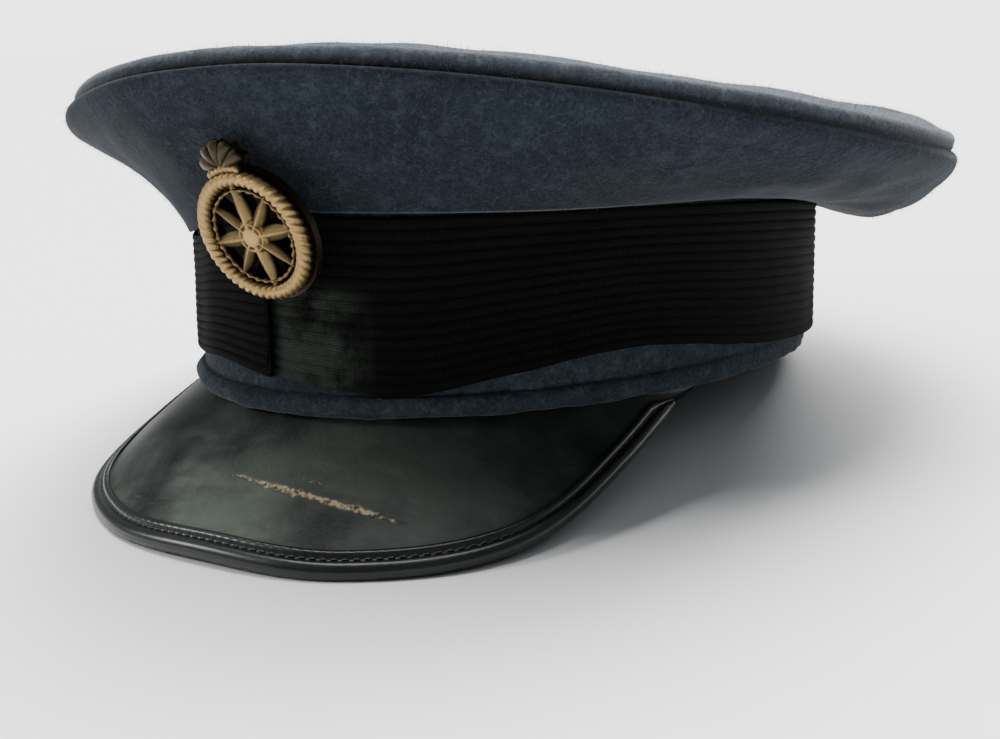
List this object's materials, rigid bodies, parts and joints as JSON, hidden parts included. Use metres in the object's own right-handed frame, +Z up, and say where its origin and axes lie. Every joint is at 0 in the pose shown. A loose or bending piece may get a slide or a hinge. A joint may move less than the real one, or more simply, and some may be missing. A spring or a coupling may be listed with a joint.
{
  "type": "peaked_cap",
  "caption": "Peaked service cap: blue-grey wool crown flared over a stiff band, a black ribbed band round it, a worn leather peak with a folded binding, and a brass badge in front.",
  "frame": {"origin": "the middle of the cap's outline on the floor it stands on", "axes": "+Z up, -Y the way the peak points, +X the wearer's left"},
  "size_m": [0.2465, 0.266, 0.1079],
  "materials": {
    "wool": "milled, with a raised nap",
    "ribbed_band": "horizontally ribbed, faded at one end",
    "leather": "scuffed semi-gloss, cracked",
    "binding": "polished by wear",
    "brass": "tarnished, dark in its recesses"
  },
  "bodies": {
    "root": {"crown_top": "wool", "crown_side": "wool", "band_base": "wool", "cap_band": "ribbed_band", "peak": "leather", "peak_binding": "binding", "badge": "brass"}
  },
  "joints": []
}
